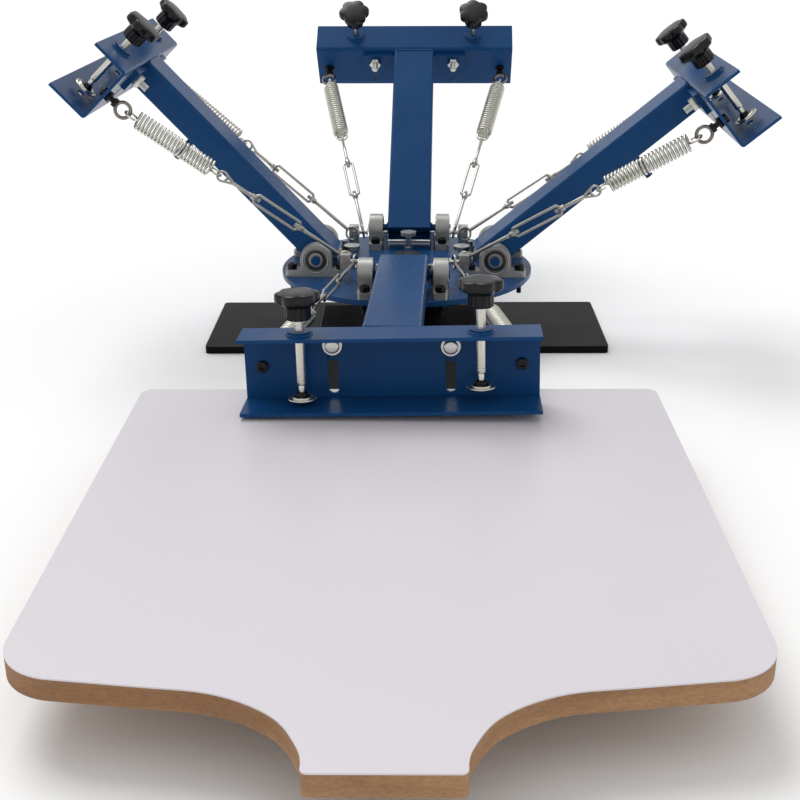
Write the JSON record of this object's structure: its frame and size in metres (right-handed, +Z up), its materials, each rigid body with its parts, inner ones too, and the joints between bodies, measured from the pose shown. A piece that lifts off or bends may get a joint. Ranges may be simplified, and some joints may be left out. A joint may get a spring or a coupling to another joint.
{
  "type": "tabletop screen printing press",
  "caption": "Tabletop screen printing press with a shirt board and sprung lifting arms that clamp screen frames over a turntable.",
  "frame": {"origin": "on the bench, under the turntable's axis", "axes": "+X to the operator's right, +Y away from the operator, +Z up"},
  "size_m": [0.7192, 1.2371, 0.3607],
  "materials": {
    "blue_paint": "gloss powder coat",
    "black_paint": "semi-gloss",
    "zinc_steel": "zinc plated",
    "spring_wire": "bright wire",
    "cast_zinc": "satin cast",
    "bearing_steel": "ground",
    "black_steel": "black oxide",
    "black_plastic": "moulded gloss",
    "board_core": "cut fibreboard edge",
    "white_laminate": "satin laminate"
  },
  "bodies": {
    "base": {"base_plate": "black_paint", "column": "black_paint", "spindle": "zinc_steel", "thrust_bearing": "zinc_steel", "pallet_carrier": "black_paint", "front_foot": "black_paint", "frame_screws": "zinc_steel", "landing_stop": "black_paint", "pallet_board": "board_core", "pallet_face": "white_laminate"},
    "turntable": {"turntable_disc": "blue_paint", "pillow_housings": "cast_zinc", "bearing_inserts": "bearing_steel", "pillow_bolts": "black_steel", "tail_stops": "zinc_steel", "spring_posts": "zinc_steel"},
    "front_arm": {"front_arm": "blue_paint", "front_channel": "blue_paint", "front_fasteners": "zinc_steel"},
    "front_springs": {"front_springs": "spring_wire"},
    "front_links": {"front_links": "zinc_steel"},
    "front_foot_left": {"front_foot_left": "zinc_steel"},
    "front_screw_left": {"front_screw_left": "zinc_steel", "front_knob_left": "black_plastic"},
    "front_foot_right": {"front_foot_right": "zinc_steel"},
    "front_screw_right": {"front_screw_right": "zinc_steel", "front_knob_right": "black_plastic"},
    "left_arm": {"left_arm": "blue_paint", "left_channel": "blue_paint", "left_fasteners": "zinc_steel"},
    "left_springs": {"left_springs": "spring_wire"},
    "left_links": {"left_links": "zinc_steel"},
    "left_foot_left": {"left_foot_left": "zinc_steel"},
    "left_screw_left": {"left_screw_left": "zinc_steel", "left_knob_left": "black_plastic"},
    "left_foot_right": {"left_foot_right": "zinc_steel"},
    "left_screw_right": {"left_screw_right": "zinc_steel", "left_knob_right": "black_plastic"},
    "rear_arm": {"rear_arm": "blue_paint", "rear_channel": "blue_paint", "rear_fasteners": "zinc_steel"},
    "rear_springs": {"rear_springs": "spring_wire"},
    "rear_links": {"rear_links": "zinc_steel"},
    "rear_foot_left": {"rear_foot_left": "zinc_steel"},
    "rear_screw_left": {"rear_screw_left": "zinc_steel", "rear_knob_left": "black_plastic"},
    "rear_foot_right": {"rear_foot_right": "zinc_steel"},
    "rear_screw_right": {"rear_screw_right": "zinc_steel", "rear_knob_right": "black_plastic"},
    "right_arm": {"right_arm": "blue_paint", "right_channel": "blue_paint", "right_fasteners": "zinc_steel"},
    "right_springs": {"right_springs": "spring_wire"},
    "right_links": {"right_links": "zinc_steel"},
    "right_foot_left": {"right_foot_left": "zinc_steel"},
    "right_screw_left": {"right_screw_left": "zinc_steel", "right_knob_left": "black_plastic"},
    "right_foot_right": {"right_foot_right": "zinc_steel"},
    "right_screw_right": {"right_screw_right": "zinc_steel", "right_knob_right": "black_plastic"}
  },
  "joints": [
    {"name": "turntable_turn", "type": "hinge", "parent": "base", "child": "turntable", "pos_m": [0, 0, 0.076], "axis": [0, 0, 1], "continuous": true},
    {"name": "front_lift", "type": "hinge", "parent": "turntable", "child": "front_arm", "pos_m": [-0.00262, -0.09696, 0.094], "axis": [-0.9996, 0.027, 0], "range_deg": [0, 43.1]},
    {"name": "front_chain_swing", "type": "hinge", "parent": "front_arm", "child": "front_springs", "pos_m": [-0.11898, -0.34244, 0.08977], "axis": [-0.9994, 0.026, -0.0209], "range_deg": [-5.08, 0.2]},
    {"name": "front_spring_stretch", "type": "slide", "parent": "front_springs", "child": "front_links", "axis": [0.027, 0.9994, 0.021], "range_m": [-0.00937, 0.0005], "deforming": ["front_springs"]},
    {"name": "front_foot_left_travel", "type": "slide", "parent": "front_arm", "child": "front_foot_left", "axis": [-0.0196, 0.0511, 0.9985], "range_m": [-0.0047, 0.035]},
    {"name": "front_screw_left_turn", "type": "hinge", "parent": "front_foot_left", "child": "front_screw_left", "pos_m": [-0.08471, -0.38745, 0.06971], "axis": [-0.0196, 0.0511, 0.9985], "range_deg": [-1393.6, 10120]},
    {"name": "front_foot_right_travel", "type": "slide", "parent": "front_arm", "child": "front_foot_right", "axis": [-0.0196, 0.0511, 0.9985], "range_m": [-0.0132, 0.0265]},
    {"name": "front_screw_right_turn", "type": "hinge", "parent": "front_foot_right", "child": "front_screw_right", "pos_m": [0.06504, -0.39092, 0.08134], "axis": [-0.0196, 0.0511, 0.9985], "range_deg": [-3841.6, 7672]},
    {"name": "left_lift", "type": "hinge", "parent": "turntable", "child": "left_arm", "pos_m": [-0.09696, 0.00262, 0.094], "axis": [0.027, 0.9996, 0], "range_deg": [-43.9, 0], "stiffness_Nm_per_rad": 3, "springref_deg": 83.08},
    {"name": "left_chain_swing", "type": "hinge", "parent": "left_arm", "child": "left_springs", "pos_m": [-0.27426, 0.11746, 0.26486], "axis": [0.027, 0.9996, 0], "range_deg": [-0.2, 4.86]},
    {"name": "left_spring_stretch", "type": "slide", "parent": "left_springs", "child": "left_links", "axis": [0.7888, -0.0213, -0.6143], "range_m": [-0.0005, 0.01308], "deforming": ["left_springs"]},
    {"name": "left_foot_left_travel", "type": "slide", "parent": "left_arm", "child": "left_foot_left", "axis": [0.7287, -0.0197, 0.6845], "range_m": [-0.0057, 0.034]},
    {"name": "left_screw_left_turn", "type": "hinge", "parent": "left_foot_left", "child": "left_screw_left", "pos_m": [-0.32066, 0.0837, 0.28114], "axis": [0.7287, -0.0197, 0.6845], "range_deg": [-1681.6, 9832]},
    {"name": "left_foot_right_travel", "type": "slide", "parent": "left_arm", "child": "left_foot_right", "axis": [0.7287, -0.0197, 0.6845], "range_m": [-0.0057, 0.034]},
    {"name": "left_screw_right_turn", "type": "hinge", "parent": "left_foot_right", "child": "left_screw_right", "pos_m": [-0.32472, -0.06624, 0.28114], "axis": [0.7287, -0.0197, 0.6845], "range_deg": [-1681.6, 9832]},
    {"name": "rear_lift", "type": "hinge", "parent": "turntable", "child": "rear_arm", "pos_m": [0.00262, 0.09696, 0.094], "axis": [0.9996, -0.027, 0], "range_deg": [-36.2, 0], "stiffness_Nm_per_rad": 3, "springref_deg": 83.08},
    {"name": "rear_chain_swing", "type": "hinge", "parent": "rear_arm", "child": "rear_springs", "pos_m": [0.11804, 0.29552, 0.23916], "axis": [0.9996, -0.027, 0], "range_deg": [-0.2, 4.19]},
    {"name": "rear_spring_stretch", "type": "slide", "parent": "rear_springs", "child": "rear_links", "axis": [-0.0232, -0.8575, -0.5139], "range_m": [-0.0005, 0.00952], "deforming": ["rear_springs"]},
    {"name": "rear_foot_left_travel", "type": "slide", "parent": "rear_arm", "child": "rear_foot_left", "axis": [-0.0171, -0.6304, 0.776], "range_m": [-0.0122, 0.0275]},
    {"name": "rear_screw_left_turn", "type": "hinge", "parent": "rear_foot_left", "child": "rear_screw_left", "pos_m": [0.08422, 0.3396, 0.25424], "axis": [-0.0171, -0.6304, 0.776], "range_deg": [-3553.6, 7960]},
    {"name": "rear_foot_right_travel", "type": "slide", "parent": "rear_arm", "child": "rear_foot_right", "axis": [-0.0171, -0.6304, 0.776], "range_m": [-0.0122, 0.0275]},
    {"name": "rear_screw_right_turn", "type": "hinge", "parent": "rear_foot_right", "child": "rear_screw_right", "pos_m": [-0.06573, 0.34365, 0.25424], "axis": [-0.0171, -0.6304, 0.776], "range_deg": [-3553.6, 7960]},
    {"name": "right_lift", "type": "hinge", "parent": "turntable", "child": "right_arm", "pos_m": [0.09696, -0.00262, 0.094], "axis": [-0.027, -0.9996, 0], "range_deg": [-36.85, 0], "stiffness_Nm_per_rad": 3, "springref_deg": 83.08},
    {"name": "right_chain_swing", "type": "hinge", "parent": "right_arm", "child": "right_springs", "pos_m": [0.29386, -0.11799, 0.24143], "axis": [-0.027, -0.9996, 0], "range_deg": [-0.2, 4.25]},
    {"name": "right_spring_stretch", "type": "slide", "parent": "right_springs", "child": "right_links", "axis": [-0.8522, 0.0231, -0.5227], "range_m": [-0.0005, 0.0098], "deforming": ["right_springs"]},
    {"name": "right_foot_left_travel", "type": "slide", "parent": "right_arm", "child": "right_foot_left", "axis": [-0.6392, 0.0173, 0.7688], "range_m": [-0.0057, 0.034]},
    {"name": "right_screw_left_turn", "type": "hinge", "parent": "right_foot_left", "child": "right_screw_left", "pos_m": [0.34192, -0.08428, 0.25201], "axis": [-0.6392, 0.0173, 0.7688], "range_deg": [-1681.6, 9832]},
    {"name": "right_foot_right_travel", "type": "slide", "parent": "right_arm", "child": "right_foot_right", "axis": [-0.6392, 0.0173, 0.7688], "range_m": [-0.0057, 0.034]},
    {"name": "right_screw_right_turn", "type": "hinge", "parent": "right_foot_right", "child": "right_screw_right", "pos_m": [0.34597, 0.06567, 0.25201], "axis": [-0.6392, 0.0173, 0.7688], "range_deg": [-1681.6, 9832]}
  ],
  "couplings": [
    {"joint": "front_chain_swing", "follows": "front_lift", "ratio": -0.11312},
    {"joint": "front_spring_stretch", "follows": "front_lift", "m_per_rad": -0.011791},
    {"joint": "front_screw_left_turn", "follows": "front_foot_left_travel", "rad_per_m": 5026.5},
    {"joint": "front_screw_right_turn", "follows": "front_foot_right_travel", "rad_per_m": 5026.5},
    {"joint": "left_chain_swing", "follows": "left_lift", "ratio": -0.10608},
    {"joint": "left_spring_stretch", "follows": "left_lift", "m_per_rad": -0.01642},
    {"joint": "left_screw_left_turn", "follows": "left_foot_left_travel", "rad_per_m": 5026.5},
    {"joint": "left_screw_right_turn", "follows": "left_foot_right_travel", "rad_per_m": 5026.5},
    {"joint": "rear_chain_swing", "follows": "rear_lift", "ratio": -0.11015},
    {"joint": "rear_spring_stretch", "follows": "rear_lift", "m_per_rad": -0.014274},
    {"joint": "rear_screw_left_turn", "follows": "rear_foot_left_travel", "rad_per_m": 5026.5},
    {"joint": "rear_screw_right_turn", "follows": "rear_foot_right_travel", "rad_per_m": 5026.5},
    {"joint": "right_chain_swing", "follows": "right_lift", "ratio": -0.10984},
    {"joint": "right_spring_stretch", "follows": "right_lift", "m_per_rad": -0.014459},
    {"joint": "right_screw_left_turn", "follows": "right_foot_left_travel", "rad_per_m": 5026.5},
    {"joint": "right_screw_right_turn", "follows": "right_foot_right_travel", "rad_per_m": 5026.5}
  ]
}
